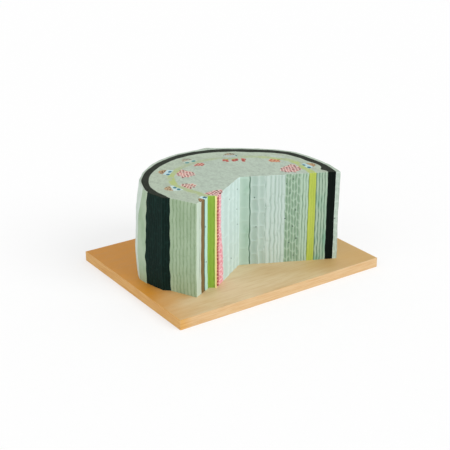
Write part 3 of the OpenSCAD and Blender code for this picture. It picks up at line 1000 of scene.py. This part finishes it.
def phloem_line(a, angle):
    """The straight border between phloem and fibre cap, square to the bundle's axis."""
    return (ring_out(angle) + phloem_l) / np.cos(np.radians(a - angle))


def phloem_marks(points, i):
    along, across = own_axes(points[:, :2], bundles[i])
    gap, tint, _, _ = honeycomb(along, across, phloem_cell, 80 + i)
    places = [polar(radius, angle - bundles[i]) for radius, angle in phloem_spots[i]]
    off = np.minimum(*(np.hypot((along - x) * 1.15, (across - y) / 1.15) for x, y in places))
    spot = held(1 - (off - spot_r) / 0.8) * (i != unspotted)
    inked = held(14 - np.abs(across)) * phloem_ink[i]
    wall = 0.6 * held(1 - gap / 0.9)
    sunk = 0.3 * (0.6 - wall) + 0.5 * spot
    return dict(wall=wall, tint=tint, inked=inked, spot=spot, sunk=sunk)


def crescent(i, inner, outer, first, last):
    """Plan grid of a bundle's phloem or cap. The last one's runs to the outer face."""
    if i != last_bundle:
        return sector(inner, outer, first, last, 0.5)
    line = walk([end_at(step_end, outer_cut, edge) for edge in (inner, outer)], 0.4)
    level, last = shares_of(line, inner, outer)
    return spread(inner, outer, held(level), first + np.linspace(0, 1, 40)[:, None] * (last - first))


white_rim = (222, 236, 234)
for i, angle in enumerate(bundles):
    lens_out = lambda a: np.maximum(np.minimum(dome(a, angle), phloem_line(a, angle)), ring_out(a))
    plan = crescent(i, ring_out, lens_out, *dome_ends(angle))
    blue, spots = phloem_tones[i]
    phloem = bundle_part("phloem_lens", "phloem_paint", i, plan, "end", {"outer": outer_columns},
                         phloem_marks, (white_rim, blue, blue, spots), striped)
    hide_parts(f"phloem_{i + 1}")

# The fibre caps: brown crescents of small thick-walled cells on the outside of each phloem,
# laid in rows along the curve. The last one is cut lengthwise and shows its fine fibres.
cap_cell = 4.8
odd_fibre = (186, 148, 104)
# How strongly the cells of each bundle are painted, and the tones of walls and cells
cap_ink = (1, 0.35, 0.9, 0.8, 1, 0.95, 1)
cap_tones = (
    ((192, 164, 124), (92, 50, 20)), ((186, 192, 172), (122, 114, 92)), ((172, 170, 150), (98, 76, 56)),
    ((172, 174, 154), (104, 86, 66)), ((192, 166, 128), (90, 50, 24)), ((200, 180, 144), (112, 72, 40)),
    ((190, 158, 112), (98, 56, 26)),
)
fibres_cut = cells(np.linspace(16.2, 26.4, 6), 300, 0.35, 0.5, 73, 0)


def cap_marks(points, i):
    along, across = own_axes(points[:, :2], bundles[i])
    bow = along - ring_out(bundles[i]) + across ** 2 / 40
    gap, tint, _, middle_y = honeycomb(bow, across, cap_cell, 90 + i)
    wall, inked = held(1 - gap / 1.3), (np.abs(middle_y) < 16) * cap_ink[i]
    return dict(wall=wall, tint=tint, inked=inked, sunk=0.45 * inked * (1 - wall))


for i, angle in enumerate(bundles):
    off = np.linspace(0, 20, 4001)
    half_angle = off[np.argmax(dome(angle + off, angle) < phloem_line(angle + off, angle))]
    cap_in = lambda a: phloem_line(a, angle)
    cap_out = lambda a: np.maximum(dome(a, angle), phloem_line(a, angle))
    plan = crescent(i, cap_in, cap_out, angle - half_angle, angle + half_angle)
    walls, fills = cap_tones[i]
    cap = bundle_part("cap_fibres", "cap_paint", i, plan, "end", {"outer": fibres_cut}, cap_marks,
                      (walls, fills, odd_fibre, walls), striped)
    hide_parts(f"fibre_cap_{i + 1}")

# The nuclei: small dark green beads of paint, one in a cell here and there on the faces
# of the notch, and a few specks on the top. Each stands on the finished surface.
nuclei_right = ((97, 160), (84, 152), (91, 134), (27, 129), (103, 101), (83, 86), (30, 73), (98, 70),
                (104.5, 46), (92, 38), (100, 12), (176, 80))
nuclei_left = ((8.5, 150), (44, 144), (12, 114), (7, 83), (34, 28))
nuclei_outer = ((11.5, 118), (9.5, 53))
flecks = ((72, 62.9), (84, 107.6), (146, 99.9), (182, 114.4), (179, 42.3), (34, 115.9), (24, 84.9),
          (110, 52), (60, 86))
bead_r, bead_proud, fleck_sunk = 1.25, 0.6, 0.55


def beads(base, out):
    """Domes at the points: rings of a half ball, flattened outwards."""
    turn, rise = np.meshgrid(np.radians(np.arange(0, 360, 30)), np.radians([0, 25, 50, 75]), indexing="ij")
    up = np.array([0, 0, 1])
    across = np.cross(out, up) if abs(out[2]) < 0.5 else np.array([1, 0, 0])
    about = np.cos(turn)[..., None] * across + np.sin(turn)[..., None] * np.cross(out, across)
    height = bead_proud * (np.sin(rise) * 1.5 - 0.5)
    domes = bead_r * np.cos(rise)[..., None] * about + height[..., None] * out
    return base[:, None] + np.concatenate([domes.reshape(-1, 3), [bead_proud * out]])


def on_face(name, places, carving):
    """Beads on the carved surface of a flat, at distances along it and heights."""
    start, way, _, out = faces[name]
    s, z = np.array(places, float).T
    plain = np.column_stack([start + s[:, None] * way, z])
    return beads(shape(plain, {name: carving})[0], np.array([*out, 0]))


angle, radius = np.array(flecks, float).T
lying = shape(np.column_stack([polar(radius, angle), np.full(len(radius), stem_h)]), {})[0]
all_beads = np.concatenate([
    on_face("right", nuclei_right[:-1], pith_columns), on_face("right", nuclei_right[-1:], epidermis_edge),
    on_face("left", nuclei_left, soft_columns), on_face("outer", nuclei_outer, outer_columns),
    beads(lying - [0, 0, fleck_sunk], np.array([0, 0, 1]))])
ids = np.column_stack([np.arange(48).reshape(12, 4), np.full(12, 48)])
dome_faces = np.array(triangles_of(np.vstack([ids, ids[:1]])))
steps = all_beads.shape[1] * np.arange(len(all_beads))[:, None]
bead_faces = (dome_faces + steps[..., None]).reshape(-1, 3).tolist() + (ids[::-1, 0] + steps).tolist()
nuclei = piece_of("nuclei", all_beads.reshape(-1, 3), bead_faces, {})
bead_paint = Paint("nucleus_paint")
bead_noise = bead_paint.noise(900)
bead_tone = bead_paint.mix(bead_noise, (40, 62, 58), (66, 88, 80))
nuclei.data.materials.append(bead_paint.shade(Base_Color=bead_tone, Roughness=0.4 + 0.1 * bead_noise))
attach(nuclei, "root")

# The anchor plugs: three hardwood dowels cast into the underside of the pith, end grain
# down, which take the screws.
plug = Paint("plug_wood")
plug_rings = plug.add("TexWave", {
    "Vector": plug.place(), "Scale": 90, "Distortion": 2.5, "Detail": 3},
    wave_type="RINGS", rings_direction="Z")
plug_grain = plug.noise(40, 4, stretch=(12, 12, 1))
plug_tone = plug.mix(plug_rings, (206, 172, 124), (178, 138, 90))
plug_tone = plug.mix(plug_grain * 0.4, plug_tone, (150, 110, 70))
repaint("anchor_plugs", plug.shade(
    Base_Color=plug_tone, Roughness=0.55 + 0.15 * plug_grain, Normal=plug.bump(plug_grain, 0.0001)))

# The fixing screws: countersunk cross-head wood screws of zinc-plated steel, driven up
# through the board into the plugs.
steel = Paint("zinc_steel")
steel_noise = steel.noise(300, 4, stretch=(1, 1, 0.2))
steel_tone = steel.mix(steel_noise, (206, 206, 202), (178, 180, 184))
repaint("fixing_screws", steel.shade(
    Base_Color=steel_tone, Metallic=1, Roughness=0.28 + 0.15 * steel_noise))
